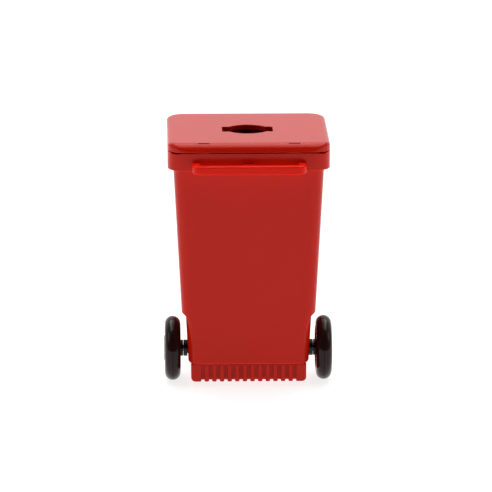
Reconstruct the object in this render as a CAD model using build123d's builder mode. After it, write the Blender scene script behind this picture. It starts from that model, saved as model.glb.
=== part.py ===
"""Miniature wheeled bin that holds a roll of dog waste bags, pulled out through the lid.

Millimetres, +Z up, +X to the right seen from the handle side, which faces -Y.
The origin is on the ground, under the middle of the overall box.
"""

import os
from math import radians, sqrt, tan

from build123d import *

# ---- overall sizes ----
lid_width = 72.0  # across X
lid_depth = 70.0  # along Y
total_height = 112.6
lid_corner = 8.0  # plan radius of the lid's and the collar's corners

# ---- lid ----
lid_rim = 3.8  # height of the lid's edge
lid_plate = 2.4  # thickness of its top
lid_edge_round = 1.8
rim_wall = 2.0
lip_wall = 1.4  # locating lip that drops into the collar
lip_drop = 2.5
lip_clearance = 0.5
hole_diameter = 19.0
slot_length = 22.6
slot_width = 10.2
hole_offset = -1.5  # the outlet's place along Y from the lid's middle

# ---- tub ----
wall = 2.0
side_draft = 3.05  # degrees
collar_height = 8.1
collar_step = 2.5  # the collar stands this far out of the tub's walls
collar_wall = 2.0
tub_corner_top = 6.7
tub_corner_foot = 4.6
panel_foot = 10.1  # height of the walls' lower edge
panel_foot_round = 1.3
shoulder_height = 34.0  # below it the sides step in beside the wheels
shoulder_step = 1.75
shoulder_reach = 6.0  # the panel's edge sweeps in by this much
shoulder_drop = 12.2  # over this height
panel_overlap = 0.7  # the panel's edge stands this far onto the rounded corner
core_corner = 6.0
shelf_height = 36.0  # inside, where the wider upper hollow begins
floor_top = 19.5
floor_thickness = 2.0
post_diameter = 10.0
post_bore = 7.0
post_height = 54.0

# ---- lid hinge ----
lid_gap = 0.2  # between the closed lid and the collar
hinge_radius = lid_rim / 2
rod_diameter = 1.4
rod_length = 55.0
rod_clearance = 0.05
snap_slot = 1.1
swing_clearance = 0.1  # between the lid's lower near edge and the trough it swings through
lug_width = 5.0
lug_place = 20.0
lug_gap = 0.25
lug_web = 6.0
lug_flat = 1.0  # straight part of the lug above the collar's outer face
rod_chamfer = 0.2

# ---- handle ----
handle_width = 50.5
handle_reach = 9.0  # outer face of the bar from the collar
bar_depth = 3.6
bar_height = 3.9
bar_drop = 0.15  # the bar's underside stands this far above the collar's lower edge
bar_corner = 4.5
bar_round = 0.7
bar_inner_corner = 1.2
spigot_shrink = 0.4
stay_width = 5.0
stay_height = 2.4

# ---- wheels and axle ----
wheel_diameter = 29.0
wheel_width = 7.1
axle_inset = 14.6  # the axle stands this far behind the near wall's foot
axle_diameter = 3.0
axle_clearance = 0.05
axle_chamfer = 0.25
boss_diameter = 7.4
boss_gap = 0.15
boss_proud = 1.15
bush_spigot = 5.0
spigot_proud = 1.2  # the bush's spigot stands this far inside the wall
bush_length = 1.75  # what shows between the tub and the wheel
web_width = 3.6
hub_flange = 13.6
cap_diameter = 11.6
cap_seat = 1.0
cap_proud = 0.25
cap_round = 0.6
clip_diameter = 5.6
clip_thickness = 0.4
clip_room = 0.3
clip_inset = 0.3  # from the axle's end

# ---- base ----
base_height = 7.9
base_side_inset = 1.13  # from the tub's sides at their foot
base_inset = 0.7  # behind the near wall's foot
base_corner = 2.4
base_inner_corner = 0.9
skirt_lift = 0.35  # the skirt ends this far above the ribs
base_wall = 2.0
base_plate = 1.6
locating_rim = 1.5
rim_clearance = 0.1
rim_inner_corner = 0.8
groove_count = 13
rib_width = 2.0
rib_round = 0.6
rib_proud = 1.4
end_rib_width = 4.6
end_rib_round = 0.7
foot_length = 11.0
foot_width = 13.0
foot_round = 0.8
foot_margin = 0.5

# ---- bag roll ----
core_clearance = 0.4
core_wall = 0.8
roll_diameter = 30.0
roll_height = 58.0
roll_gap = 0.2

cut_over = 1.0  # how far a cutting shape runs past what it cuts

# ---- places worked out from the sizes ----
mid_y = handle_reach / 2  # middle of the tub, so that the overall box is centred
collar_top = total_height - lid_rim - lid_gap
collar_foot = collar_top - collar_height
lid_foot = total_height - lid_rim
tub_width = lid_width - 2 * collar_step
tub_depth = lid_depth - 2 * collar_step
lean = tan(radians(side_draft))
foot_inset = (collar_foot - panel_foot) * lean
tub_foot_width = tub_width - 2 * foot_inset
tub_foot_depth = tub_depth - 2 * foot_inset
near_foot_y = mid_y - tub_foot_depth / 2
collar_near_y = mid_y - lid_depth / 2
hinge_y = collar_near_y + hinge_radius
hinge_z = lid_foot + hinge_radius
axle_y = near_foot_y + axle_inset
axle_z = wheel_diameter / 2
floor_foot = floor_top - floor_thickness
base_top = panel_foot
base_foot = base_top - base_height


def tub_section(height, inset, corner_inset=0.0):
    """Width, depth and corner radius of the tub's outside at a height, less an inset all round."""
    share = (collar_foot - height) / (collar_foot - panel_foot)
    corner = tub_corner_top + (tub_corner_foot - tub_corner_top) * share
    narrow = 2 * ((collar_foot - height) * lean + inset)
    return tub_width - narrow, tub_depth - narrow, corner - corner_inset


def core_section(height, inset):
    """The same for the narrower lower body between the wheels."""
    width, depth, _ = tub_section(height, inset)
    return width - 2 * shoulder_step, depth, core_corner - inset


bush_seat = core_section(axle_z + boss_diameter / 2, 0)[0] / 2  # where the drafted wall meets the bush
bush_face = bush_seat + bush_length
boss_face = bush_face + boss_gap
wheel_inner_face = boss_face + boss_proud
base_width = core_section(panel_foot, 0)[0] - 2 * base_side_inset
rib_pitch = (base_width - 2 * end_rib_width + rib_width) / groove_count


# ---- the room beside the lower body, taken off the tub on both sides ----
with BuildPart() as wheel_room:
    with BuildSketch(Plane.XZ.offset(-mid_y)) as side_profile:
        panel_edge = tub_foot_width / 2 - tub_corner_foot + panel_overlap
        sweep_centre = (panel_edge + shoulder_reach, shoulder_height - shoulder_drop)
        with BuildLine():
            sweep = EllipticalCenterArc(sweep_centre, shoulder_reach, shoulder_drop, 90, arc_size=90)
            Polyline(
                sweep @ 1,
                (panel_edge, panel_foot - cut_over),
                (lid_width, panel_foot - cut_over),
                (lid_width, shoulder_height),
                sweep @ 0,
            )
        make_face()
        mirror(about=Plane.YZ)
    extrude(amount=lid_depth, both=True)

with BuildPart() as lower_core:
    for height in (panel_foot, shoulder_height + cut_over):
        core_width, core_depth, core_round = core_section(height, 0)
        with BuildSketch(Plane.XY.offset(height)):
            with Locations((0, mid_y)):
                RectangleRounded(core_width, core_depth, core_round)
    loft(ruled=True)
    fillet(lower_core.faces().sort_by(Axis.Z)[0].edges(), panel_foot_round)

# ---- tub ----
with BuildPart() as tub:
    for height in (panel_foot, collar_foot):
        outer_width, outer_depth, outer_round = tub_section(height, 0)
        with BuildSketch(Plane.XY.offset(height)):
            with Locations((0, mid_y)):
                RectangleRounded(outer_width, outer_depth, outer_round)
    loft(ruled=True)
    fillet(tub.faces().sort_by(Axis.Z)[0].edges(), panel_foot_round)
    add(wheel_room.part - lower_core.part, mode=Mode.SUBTRACT)
    with BuildSketch(Plane.XY.offset(collar_foot)):
        with Locations((0, mid_y)):
            RectangleRounded(lid_width, lid_depth, lid_corner)
    extrude(amount=collar_height)
    # hollow: collar, upper body, lower body, then the axle's chamber under the floor
    collar_bore = lid_width - 2 * collar_wall, lid_depth - 2 * collar_wall
    with BuildSketch(Plane.XY.offset(collar_foot + wall)):
        with Locations((0, mid_y)):
            RectangleRounded(*collar_bore, lid_corner - collar_wall)
    extrude(amount=collar_height, mode=Mode.SUBTRACT)
    with BuildSketch(Plane.YZ):
        with Locations((hinge_y, hinge_z)):
            Circle(sqrt(2) * hinge_radius + swing_clearance)
    extrude(amount=lid_width, both=True, mode=Mode.SUBTRACT)
    for height in (shelf_height, collar_foot + wall):
        in_width, in_depth, in_round = tub_section(height, wall, wall)
        with BuildSketch(Plane.XY.offset(height)):
            with Locations((0, mid_y)):
                RectangleRounded(in_width, in_depth, in_round)
    loft(ruled=True, mode=Mode.SUBTRACT)
    for height in (floor_top, shelf_height):
        in_width, in_depth, in_round = core_section(height, wall)
        with BuildSketch(Plane.XY.offset(height)):
            with Locations((0, mid_y)):
                RectangleRounded(in_width, in_depth, in_round)
    loft(ruled=True, mode=Mode.SUBTRACT)
    chamber_width, chamber_depth, chamber_round = core_section(panel_foot, wall)
    with BuildSketch(Plane.XY.offset(panel_foot)):
        with Locations((0, mid_y)):
            RectangleRounded(chamber_width, chamber_depth, chamber_round)
    extrude(amount=floor_foot - panel_foot, mode=Mode.SUBTRACT)
    # hollow post that the bag roll turns on
    with BuildSketch(Plane.XY.offset(floor_top)):
        with Locations((0, mid_y)):
            Circle(post_diameter / 2)
            Circle(post_bore / 2, mode=Mode.SUBTRACT)
    extrude(amount=post_height)
    # hinge lugs, standing up from the collar
    for side in (-1, 1):
        with BuildSketch(Plane.YZ.offset(side * lug_place)):
            with BuildLine():
                Polyline(
                    (hinge_y - hinge_radius, hinge_z),
                    (hinge_y - hinge_radius, collar_top - lug_flat),
                    (collar_near_y + collar_wall / 2, collar_top - lug_web),
                    (collar_near_y + collar_wall, collar_top - lug_web),
                    (hinge_y + hinge_radius, collar_top - lug_web / 2),
                    (hinge_y + hinge_radius, hinge_z),
                    close=True,
                )
            make_face()
            with Locations((hinge_y, hinge_z)):
                Circle(hinge_radius)
                Circle(rod_diameter / 2, mode=Mode.SUBTRACT)
        extrude(amount=lug_width / 2, both=True)
    # sockets for the handle's spigots
    with BuildSketch(Plane.XZ.offset(-collar_near_y)):
        socket_z = collar_foot + bar_drop + bar_height / 2
        with Locations(*[(side * (handle_width - bar_depth) / 2, socket_z) for side in (-1, 1)]):
            Rectangle(bar_depth - 2 * spigot_shrink, bar_height - 2 * spigot_shrink)
    extrude(amount=-collar_wall, mode=Mode.SUBTRACT)
    # seats for the axle bushes
    with BuildSketch(Plane.YZ):
        with Locations((axle_y, axle_z)):
            Circle(bush_spigot / 2)
    extrude(amount=lid_width / 2, both=True, mode=Mode.SUBTRACT)
tub.part.label = "tub"

# ---- base: plinth under the tub, ribbed on the near side, with two feet at the far side ----
base_depth = tub_foot_depth - 2 * base_inset - rib_proud
base_mid_y = mid_y + rib_proud / 2
with BuildPart() as base:
    with BuildSketch(Plane.XY.offset(base_foot + skirt_lift)):
        with Locations((0, base_mid_y)):
            RectangleRounded(base_width, base_depth, base_corner)
    extrude(amount=base_height - skirt_lift)
    with BuildSketch(Plane.XY.offset(base_foot)):
        with Locations((0, base_mid_y)):
            RectangleRounded(base_width - 2 * base_wall, base_depth - 2 * base_wall, base_inner_corner)
    extrude(amount=base_height - base_plate, mode=Mode.SUBTRACT)
    # locating rim inside the tub
    rim_width = chamber_width - 2 * rim_clearance
    rim_depth = chamber_depth - 2 * rim_clearance
    rim_bore = rim_width - 2 * base_wall, rim_depth - 2 * base_wall
    with BuildSketch(Plane.XY.offset(base_top)):
        with Locations((0, mid_y)):
            RectangleRounded(rim_width, rim_depth, chamber_round)
            RectangleRounded(*rim_bore, rim_inner_corner, mode=Mode.SUBTRACT)
    extrude(amount=locating_rim)
    # feet
    foot_x = (base_width - foot_width) / 2 - foot_margin
    foot_y = base_mid_y + (base_depth - foot_length) / 2 - foot_margin
    with BuildSketch(Plane.XY):
        with Locations((-foot_x, foot_y), (foot_x, foot_y)):
            RectangleRounded(foot_width, foot_length, base_corner)
    extrude(amount=base_top - base_plate)
    fillet(base.faces().sort_by(Axis.Z)[:2].edges(), foot_round)
    # ribs and end blocks
    rib_y = base_mid_y - base_depth / 2
    with BuildSketch(Plane.XY.offset(base_foot)):
        for index in range(groove_count - 1):
            with Locations(((index - (groove_count - 2) / 2) * rib_pitch, rib_y)):
                RectangleRounded(rib_width, 2 * rib_proud, rib_round)
    extrude(amount=base_height)
    with BuildSketch(Plane.XY.offset(base_foot)):
        for side in (-1, 1):
            with Locations((side * (base_width - end_rib_width) / 2, rib_y)):
                RectangleRounded(end_rib_width, 2 * rib_proud, end_rib_round)
    extrude(amount=base_height)
base.part.label = "base"

# ---- handle ----
bar_foot = collar_foot + bar_drop
handle_gap = handle_width - 2 * bar_depth
with BuildPart() as handle:
    with BuildSketch(Plane.XY.offset(bar_foot)) as handle_plan:
        with Locations((0, collar_near_y - handle_reach / 2)):
            Rectangle(handle_width, handle_reach)
        fillet(handle_plan.vertices().group_by(Axis.Y)[0], bar_corner)
        with Locations((0, collar_near_y - (handle_reach - bar_depth) / 2)):
            RectangleRounded(handle_gap, handle_reach - bar_depth, bar_inner_corner, mode=Mode.SUBTRACT)
        with Locations((0, collar_near_y - bar_inner_corner)):
            Rectangle(handle_gap, 2 * bar_inner_corner, mode=Mode.SUBTRACT)
    extrude(amount=bar_height)
    long_edges = handle.edges().filter_by(Plane.XY)
    fillet(long_edges - long_edges.group_by(Axis.Y)[-1], bar_round)
    # spigots into the collar
    with BuildSketch(Plane.XZ.offset(-collar_near_y)):
        with Locations(*[(side * (handle_width - bar_depth) / 2, socket_z) for side in (-1, 1)]):
            Rectangle(bar_depth - 2 * spigot_shrink, bar_height - 2 * spigot_shrink)
    extrude(amount=-collar_wall)
    # stay in the middle
    with BuildSketch(Plane.XY.offset(bar_foot + bar_height - bar_round - stay_height)):
        with Locations((0, collar_near_y - (handle_reach - bar_depth / 2) / 2)):
            Rectangle(stay_width, handle_reach - bar_depth / 2)
    extrude(amount=stay_height)
handle.part.label = "handle"

# ---- lid ----
outlet_y = mid_y + hole_offset
barrel_room = 2 * hinge_radius
with BuildPart() as lid:
    with BuildSketch(Plane.XY.offset(lid_foot)):
        with Locations((0, mid_y)):
            RectangleRounded(lid_width, lid_depth, lid_corner)
    extrude(amount=lid_rim)
    fillet(lid.faces().sort_by(Axis.Z)[-1].edges(), lid_edge_round)
    # the near edge's upper half is round about the hinge line
    with BuildSketch(Plane.YZ):
        with Locations((hinge_y - hinge_radius, hinge_z + hinge_radius)):
            Rectangle(2 * hinge_radius, 2 * hinge_radius)
        with Locations((hinge_y, hinge_z)):
            Circle(hinge_radius, mode=Mode.SUBTRACT)
    extrude(amount=lid_width, both=True, mode=Mode.SUBTRACT)
    # recess under the top plate, clear of the hinge barrel
    recess_near = hinge_y + barrel_room
    recess_far = mid_y + lid_depth / 2 - rim_wall
    with BuildSketch(Plane.XY.offset(lid_foot)):
        with Locations((0, (recess_near + recess_far) / 2)):
            RectangleRounded(lid_width - 2 * rim_wall, recess_far - recess_near, lid_corner - rim_wall)
    extrude(amount=lid_rim - lid_plate, mode=Mode.SUBTRACT)
    # locating lip
    lip_far = mid_y + lid_depth / 2 - collar_wall - lip_clearance
    lip_near = recess_near + lip_clearance
    lip_width = lid_width - 2 * (collar_wall + lip_clearance)
    lip_round = lid_corner - collar_wall - lip_clearance
    lip_bore = lip_width - 2 * lip_wall, lip_far - lip_near - 2 * lip_wall
    with BuildSketch(Plane.XY.offset(lid_foot - lip_drop)):
        with Locations((0, (lip_near + lip_far) / 2)):
            RectangleRounded(lip_width, lip_far - lip_near, lip_round)
            RectangleRounded(*lip_bore, lip_round - lip_wall, mode=Mode.SUBTRACT)
    extrude(amount=lip_drop + lid_rim - lid_plate)
    # outlet: round hole crossed by a slot
    with BuildSketch(Plane.XY.offset(lid_foot)):
        with Locations((0, outlet_y)):
            Circle(hole_diameter / 2)
            Rectangle(slot_length, slot_width)
    extrude(amount=lid_rim, mode=Mode.SUBTRACT)
    # room for the hinge lugs
    with BuildSketch(Plane.XY.offset(lid_foot)):
        notch_near = hinge_y - 2 * hinge_radius
        notch_far = hinge_y + hinge_radius + lug_gap
        with Locations(*[(side * lug_place, (notch_near + notch_far) / 2) for side in (-1, 1)]):
            Rectangle(lug_width + 2 * lug_gap, notch_far - notch_near)
    extrude(amount=lid_rim, mode=Mode.SUBTRACT)
    # barrel bore, with the slot underneath that snaps over the rod
    with BuildSketch(Plane.YZ):
        with Locations((hinge_y, hinge_z)):
            Circle(rod_diameter / 2 + rod_clearance)
        with Locations((hinge_y, hinge_z - hinge_radius / 2)):
            Rectangle(snap_slot, hinge_radius)
    extrude(amount=rod_length / 2 + lug_gap, both=True, mode=Mode.SUBTRACT)
lid.part.label = "lid"

with BuildPart() as hinge_rod:
    with BuildSketch(Plane.YZ):
        with Locations((hinge_y, hinge_z)):
            Circle(rod_diameter / 2)
    extrude(amount=rod_length / 2, both=True)
    chamfer(hinge_rod.edges(), rod_chamfer)
hinge_rod.part.label = "hinge_rod"

# ---- axle ----
wheel_outer_face = wheel_inner_face + wheel_width
cap_back = wheel_outer_face - cap_seat
axle_half = cap_back - clip_room
clip_outer = axle_half - clip_inset
with BuildPart() as axle:
    with BuildSketch(Plane.YZ):
        with Locations((axle_y, axle_z)):
            Circle(axle_diameter / 2)
    extrude(amount=axle_half, both=True)
    chamfer(axle.edges(), axle_chamfer)
axle.part.label = "axle"

# ---- wheel, bush, clip and cap of the right side, then their mirror images ----
axle_line = Axis((0, axle_y, axle_z), (1, 0, 0))
wheel_middle = wheel_inner_face + wheel_width / 2
tyre_radius = wheel_width / 2
hub_plane = Plane(origin=(0, axle_y, axle_z), x_dir=(1, 0, 0), z_dir=(0, -1, 0))
clip_seat = clip_outer - clip_thickness - clip_room

with BuildPart() as wheel_right:
    with BuildSketch(hub_plane):
        with Locations(((boss_face + cap_back) / 2, boss_diameter / 4)):
            Rectangle(cap_back - boss_face, boss_diameter / 2)
        with Locations(((wheel_middle + wheel_outer_face) / 2, hub_flange / 4)):
            Rectangle(wheel_width / 2, hub_flange / 2)
        with Locations((wheel_middle, (wheel_diameter / 2 - tyre_radius) / 2)):
            Rectangle(web_width, wheel_diameter / 2 - tyre_radius)
        with Locations((wheel_middle, wheel_diameter / 2 - tyre_radius)):
            Circle(tyre_radius)
        with Locations((wheel_middle, axle_diameter / 4)):
            Rectangle(3 * wheel_width, axle_diameter / 2 + 2 * axle_clearance, mode=Mode.SUBTRACT)
        with Locations((cap_back + cap_seat / 2, 0)):
            Rectangle(cap_seat, cap_diameter, mode=Mode.SUBTRACT)
        with Locations(((clip_seat + cap_back) / 2, 0)):
            Rectangle(cap_back - clip_seat, clip_diameter + 2 * clip_room, mode=Mode.SUBTRACT)
        with Locations((wheel_middle, -wheel_diameter / 2)):
            Rectangle(4 * wheel_width, wheel_diameter, mode=Mode.SUBTRACT)
    revolve(axis=axle_line)

with BuildPart() as bush_right:
    with BuildSketch(Plane.YZ.offset(bush_seat)):
        with Locations((axle_y, axle_z)):
            Circle(boss_diameter / 2)
    extrude(amount=bush_length)
    with BuildSketch(Plane.YZ.offset(bush_seat)):
        with Locations((axle_y, axle_z)):
            Circle(bush_spigot / 2)
    extrude(amount=-(wall + spigot_proud))
    with BuildSketch(Plane.YZ.offset(bush_seat)):
        with Locations((axle_y, axle_z)):
            Circle(axle_diameter / 2)
    extrude(amount=2 * wall + spigot_proud, both=True, mode=Mode.SUBTRACT)

with BuildPart() as clip_right:
    with BuildSketch(Plane.YZ.offset(clip_outer)):
        with Locations((axle_y, axle_z)):
            Circle(clip_diameter / 2)
            Circle(axle_diameter / 2, mode=Mode.SUBTRACT)
    extrude(amount=-clip_thickness)

with BuildPart() as cap_right:
    with BuildSketch(Plane.YZ.offset(cap_back)):
        with Locations((axle_y, axle_z)):
            Circle(cap_diameter / 2)
    extrude(amount=cap_seat + cap_proud)
    fillet(cap_right.edges().sort_by(Axis.X)[-1], cap_round)

sides = {"right": False, "left": True}
wheel_sets = {"wheel": wheel_right, "axle_bush": bush_right, "axle_clip": clip_right, "hub_cap": cap_right}
pieces = {}
for side_name, mirrored in sides.items():
    for piece_name, source in wheel_sets.items():
        with BuildPart() as copied:
            add(mirror(source.part, about=Plane.YZ, mode=Mode.PRIVATE) if mirrored else source.part)
        copied.part.label = f"{piece_name}_{side_name}"
        pieces[copied.part.label] = copied.part

# ---- bag roll on its core ----
core_bore = post_diameter / 2 + core_clearance
roll_foot = floor_top + roll_gap
with BuildPart() as roll_core:
    with BuildSketch(Plane.XY.offset(roll_foot)):
        with Locations((0, mid_y)):
            Circle(core_bore + core_wall)
            Circle(core_bore, mode=Mode.SUBTRACT)
    extrude(amount=roll_height)
roll_core.part.label = "roll_core"

with BuildPart() as bag_roll:
    with BuildSketch(Plane.XY.offset(roll_foot)):
        with Locations((0, mid_y)):
            Circle(roll_diameter / 2)
            Circle(core_bore + core_wall, mode=Mode.SUBTRACT)
    extrude(amount=roll_height)
bag_roll.part.label = "bag_roll"

for made in (tub, base, handle, lid, hinge_rod, axle, roll_core, bag_roll):
    pieces[made.part.label] = made.part

os.makedirs("parts", exist_ok=True)
for label, piece in pieces.items():
    export_step(piece, f"parts/{label}.step")
print(f"hinge y {hinge_y:.3f} z {hinge_z:.3f}, axle y {axle_y:.3f} z {axle_z:.3f}, middle y {mid_y:.3f}")
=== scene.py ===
"""Finished look of a miniature two-wheeled bag bin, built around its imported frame.

Every length is in millimetres until a point is written into a mesh, which is in metres.
"""

import logging
import math
from dataclasses import dataclass
from enum import Enum
from typing import Any, Iterable, Sequence

import bmesh
import bpy
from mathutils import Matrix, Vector


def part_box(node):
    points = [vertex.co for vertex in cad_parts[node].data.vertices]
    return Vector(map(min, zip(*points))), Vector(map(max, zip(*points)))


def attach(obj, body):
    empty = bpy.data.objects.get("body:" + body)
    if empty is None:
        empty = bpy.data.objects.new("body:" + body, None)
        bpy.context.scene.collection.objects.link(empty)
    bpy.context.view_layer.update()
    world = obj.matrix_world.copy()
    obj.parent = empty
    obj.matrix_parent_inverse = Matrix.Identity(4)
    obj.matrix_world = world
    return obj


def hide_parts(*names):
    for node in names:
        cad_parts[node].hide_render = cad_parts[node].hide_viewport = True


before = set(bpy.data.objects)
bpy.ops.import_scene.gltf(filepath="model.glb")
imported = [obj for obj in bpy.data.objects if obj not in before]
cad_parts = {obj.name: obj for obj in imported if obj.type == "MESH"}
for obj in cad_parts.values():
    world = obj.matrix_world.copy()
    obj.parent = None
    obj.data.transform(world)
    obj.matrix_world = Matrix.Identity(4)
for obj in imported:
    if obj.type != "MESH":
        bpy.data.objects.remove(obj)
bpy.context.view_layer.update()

LOG = logging.getLogger("bag_bin")
MM = 0.001
MERGE = 1e-7
AXIS_MERGE = 0.03
Place = tuple[float, float]
Outline = tuple[float, float, float]
Ring = list[tuple[float, float, float]]


def node_box(node: str) -> tuple[Vector, Vector]:
    """Lowest and highest corner of a frame node, in millimetres.

    Args:
        node: the node's name.

    Returns:
        Two corners.
    """
    low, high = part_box(node)
    return low / MM, high / MM


# ---------------------------------------------------------------- shader graph


class Wire:
    """One output of a shader tree, which Python arithmetic can be written with."""

    def __init__(self, graph: "ShaderGraph", socket: bpy.types.NodeSocket) -> None:
        """Keeps the graph and the output socket."""
        self.graph = graph
        self.socket = socket

    def _maths(self, operation: str, first: Any, second: Any) -> "Wire":
        """Adds one Math node for an operator."""
        return self.graph.node("ShaderNodeMath", {"operation": operation}, {0: first, 1: second})

    def __add__(self, other: Any) -> "Wire":
        """Sum."""
        return self._maths("ADD", self, other)

    def __radd__(self, other: Any) -> "Wire":
        """Sum, reflected."""
        return self._maths("ADD", other, self)

    def __sub__(self, other: Any) -> "Wire":
        """Difference."""
        return self._maths("SUBTRACT", self, other)

    def __rsub__(self, other: Any) -> "Wire":
        """Difference, reflected."""
        return self._maths("SUBTRACT", other, self)

    def __mul__(self, other: Any) -> "Wire":
        """Product."""
        return self._maths("MULTIPLY", self, other)

    def __rmul__(self, other: Any) -> "Wire":
        """Product, reflected."""
        return self._maths("MULTIPLY", other, self)


class ShaderGraph:
    """One material and the nodes in it."""

    def __init__(self, name: str) -> None:
        """Makes an empty material.

        Args:
            name: the material's name.
        """
        self.material = bpy.data.materials.new(name)
        self.material.use_nodes = True
        self.tree = self.material.node_tree
        self.tree.nodes.clear()

    def node(self, kind: str, settings: dict[str, Any], values: dict[Any, Any], out: Any = 0) -> Wire:
        """Adds a node, sets it up and feeds its sockets.

        Args:
            kind: the node's type.
            settings: its properties; "stops" gives a colour ramp's places and greys.
            values: its sockets' values or wires, by name or number.
            out: the output that is wanted.

        Returns:
            That output.
        """
        made = self.tree.nodes.new(kind)
        for key, value in settings.items():
            if key == "stops":
                ramp = made.color_ramp
                for element, (place, grey) in zip(ramp.elements, value):
                    element.position = place
                    element.color = (grey, grey, grey, 1.0)
            else:
                setattr(made, key, value)
        for key, value in values.items():
            if isinstance(value, Wire):
                self.tree.links.new(value.socket, made.inputs[key])
            else:
                made.inputs[key].default_value = value
        return Wire(self, made.outputs[out])

    def place(self) -> Wire:
        """Object coordinates, which are the shared frame's metres."""
        return self.node("ShaderNodeTexCoord", {}, {}, "Object")

    def noise(self, scale: float, detail: float = 3.0, stretch: Sequence[float] = (1, 1, 1)) -> Wire:
        """Noise from 0 to 1.

        Args:
            scale: lumps per metre.
            detail: how many finer layers it has.
            stretch: a scale of its own for each axis.

        Returns:
            The noise's value.
        """
        turned = self.node("ShaderNodeMapping", {}, {"Vector": self.place(), "Scale": stretch})
        return self.node("ShaderNodeTexNoise", {}, {"Vector": turned, "Scale": scale, "Detail": detail})

    def tint(self, share: Any, first: Sequence[float], second: Sequence[float]) -> Wire:
        """Mixes two colours.

        Args:
            share: how much of the second one.
            first: a linear red, green and blue.
            second: the same.

        Returns:
            The mixed colour.
        """
        ends = {"Factor": share, 6: (*first, 1.0), 7: (*second, 1.0)}
        return self.node("ShaderNodeMix", {"data_type": "RGBA"}, ends, 2)

    def bump(self, height: Wire, depth: float, strength: float = 1.0) -> Wire:
        """Turns a height into a normal.

        Args:
            height: from 0 to 1.
            depth: what 1 stands for, in millimetres.
            strength: how much of it shows.

        Returns:
            The normal.
        """
        values = {"Height": height, "Distance": depth * MM, "Strength": strength}
        return self.node("ShaderNodeBump", {}, values)

    def finish(self, **sockets: Any) -> bpy.types.Material:
        """Adds the shader and the output.

        Args:
            sockets: the shader's values or wires, spaces in their names as underscores.

        Returns:
            The material.
        """
        named = {key.replace("_", " "): value for key, value in sockets.items()}
        shader = self.node("ShaderNodeBsdfPrincipled", {}, named)
        self.node_out(shader)
        return self.material

    def node_out(self, shader: Wire) -> None:
        """Links a shader to the material's output."""
        made = self.tree.nodes.new("ShaderNodeOutputMaterial")
        self.tree.links.new(shader.socket, made.inputs["Surface"])


# ---------------------------------------------------------------- finishes


@dataclass(frozen=True)
class MouldedPlastic:
    """Glossy injection-moulded plastic: faint flow marks, a polished skin and a little handling haze."""

    name: str
    colour: tuple[float, float, float]
    deep: tuple[float, float, float]
    roughness: float = 0.16
    haze: float = 0.07
    ripple: float = 0.012
    ior: float = 1.36

    def make(self) -> bpy.types.Material:
        """Builds the material."""
        graph = ShaderGraph(self.name)
        flow = graph.noise(26.0, 2.0, (1.0, 1.0, 0.45))
        speckle = graph.noise(2600.0, 2.0)
        smudge = graph.noise(95.0, 5.0)
        colour = graph.tint(flow * 0.8 + speckle * 0.2, self.deep, self.colour)
        skin = graph.noise(420.0, 2.0) * 0.8 + speckle * 0.2
        return graph.finish(
            Base_Color=colour,
            Roughness=smudge * self.haze + (self.roughness - self.haze / 2),
            Normal=graph.bump(skin, self.ripple),
            IOR=self.ior,
        )


@dataclass(frozen=True)
class DrawnSteel:
    """Bright steel rod or strip with fine lines along X."""

    name: str
    colour: tuple[float, float, float]
    roughness: float = 0.28

    def make(self) -> bpy.types.Material:
        """Builds the material."""
        graph = ShaderGraph(self.name)
        lines = graph.noise(5200.0, 2.0, (0.02, 1.0, 1.0))
        stain = graph.noise(180.0, 4.0)
        dark = tuple(0.72 * part for part in self.colour)
        return graph.finish(
            Base_Color=graph.tint(stain, dark, self.colour),
            Metallic=1.0,
            Roughness=lines * 0.14 + (self.roughness - 0.07),
            Normal=graph.bump(lines, 0.01),
        )


@dataclass(frozen=True)
class WoundBoard:
    """Grey-brown board wound into a tube, with its fibres and the seam of its spiral."""

    name: str
    colour: tuple[float, float, float]

    def make(self) -> bpy.types.Material:
        """Builds the material."""
        graph = ShaderGraph(self.name)
        fibre = graph.noise(1500.0, 5.0, (1.0, 1.0, 0.3))
        blotch = graph.noise(160.0, 3.0)
        dark = tuple(0.6 * part for part in self.colour)
        return graph.finish(
            Base_Color=graph.tint(fibre * 0.6 + blotch * 0.4, dark, self.colour),
            Roughness=fibre * 0.15 + 0.75,
            Normal=graph.bump(fibre, 0.08),
        )


@dataclass(frozen=True)
class BagFilm:
    """Thin dark film wound tight: soft vertical creases and a satin shine."""

    name: str
    colour: tuple[float, float, float]

    def make(self) -> bpy.types.Material:
        """Builds the material."""
        graph = ShaderGraph(self.name)
        crease = graph.noise(240.0, 3.0, (1.0, 1.0, 0.12))
        fine = graph.noise(1800.0, 2.0, (1.0, 1.0, 0.2))
        light = tuple(1.9 * part for part in self.colour)
        return graph.finish(
            Base_Color=graph.tint(crease, self.colour, light),
            Roughness=fine * 0.12 + 0.3,
            Normal=graph.bump(crease * 0.7 + fine * 0.3, 0.12),
        )


class Finish(Enum):
    """The finishes of the bin, each one made once."""

    BODY = MouldedPlastic("red_plastic", (0.66, 0.014, 0.003), (0.58, 0.010, 0.002), ior=1.26)
    HANDLE = MouldedPlastic(
        "bright_red_plastic", (0.9, 0.013, 0.001), (0.84, 0.010, 0.001), roughness=0.2, ior=1.21
    )
    WHEEL = MouldedPlastic(
        "brown_black_plastic", (0.022, 0.007, 0.006), (0.015, 0.005, 0.004), 0.12, haze=0.05, ior=1.3
    )
    BUSH = MouldedPlastic(
        "blue_black_plastic", (0.013, 0.012, 0.020), (0.009, 0.008, 0.014), roughness=0.26
    )
    STEEL = DrawnSteel("bright_steel", (0.62, 0.61, 0.60))
    SPRING = DrawnSteel("spring_steel", (0.40, 0.40, 0.42), roughness=0.34)
    BOARD = WoundBoard("wound_board", (0.42, 0.31, 0.20))
    FILM = BagFilm("bag_film", (0.012, 0.012, 0.014))

    def material(self) -> bpy.types.Material:
        """The finish's material, made on its first use."""
        return bpy.data.materials.get(self.value.name) or self.value.make()


# ---------------------------------------------------------------- mesh code


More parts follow.
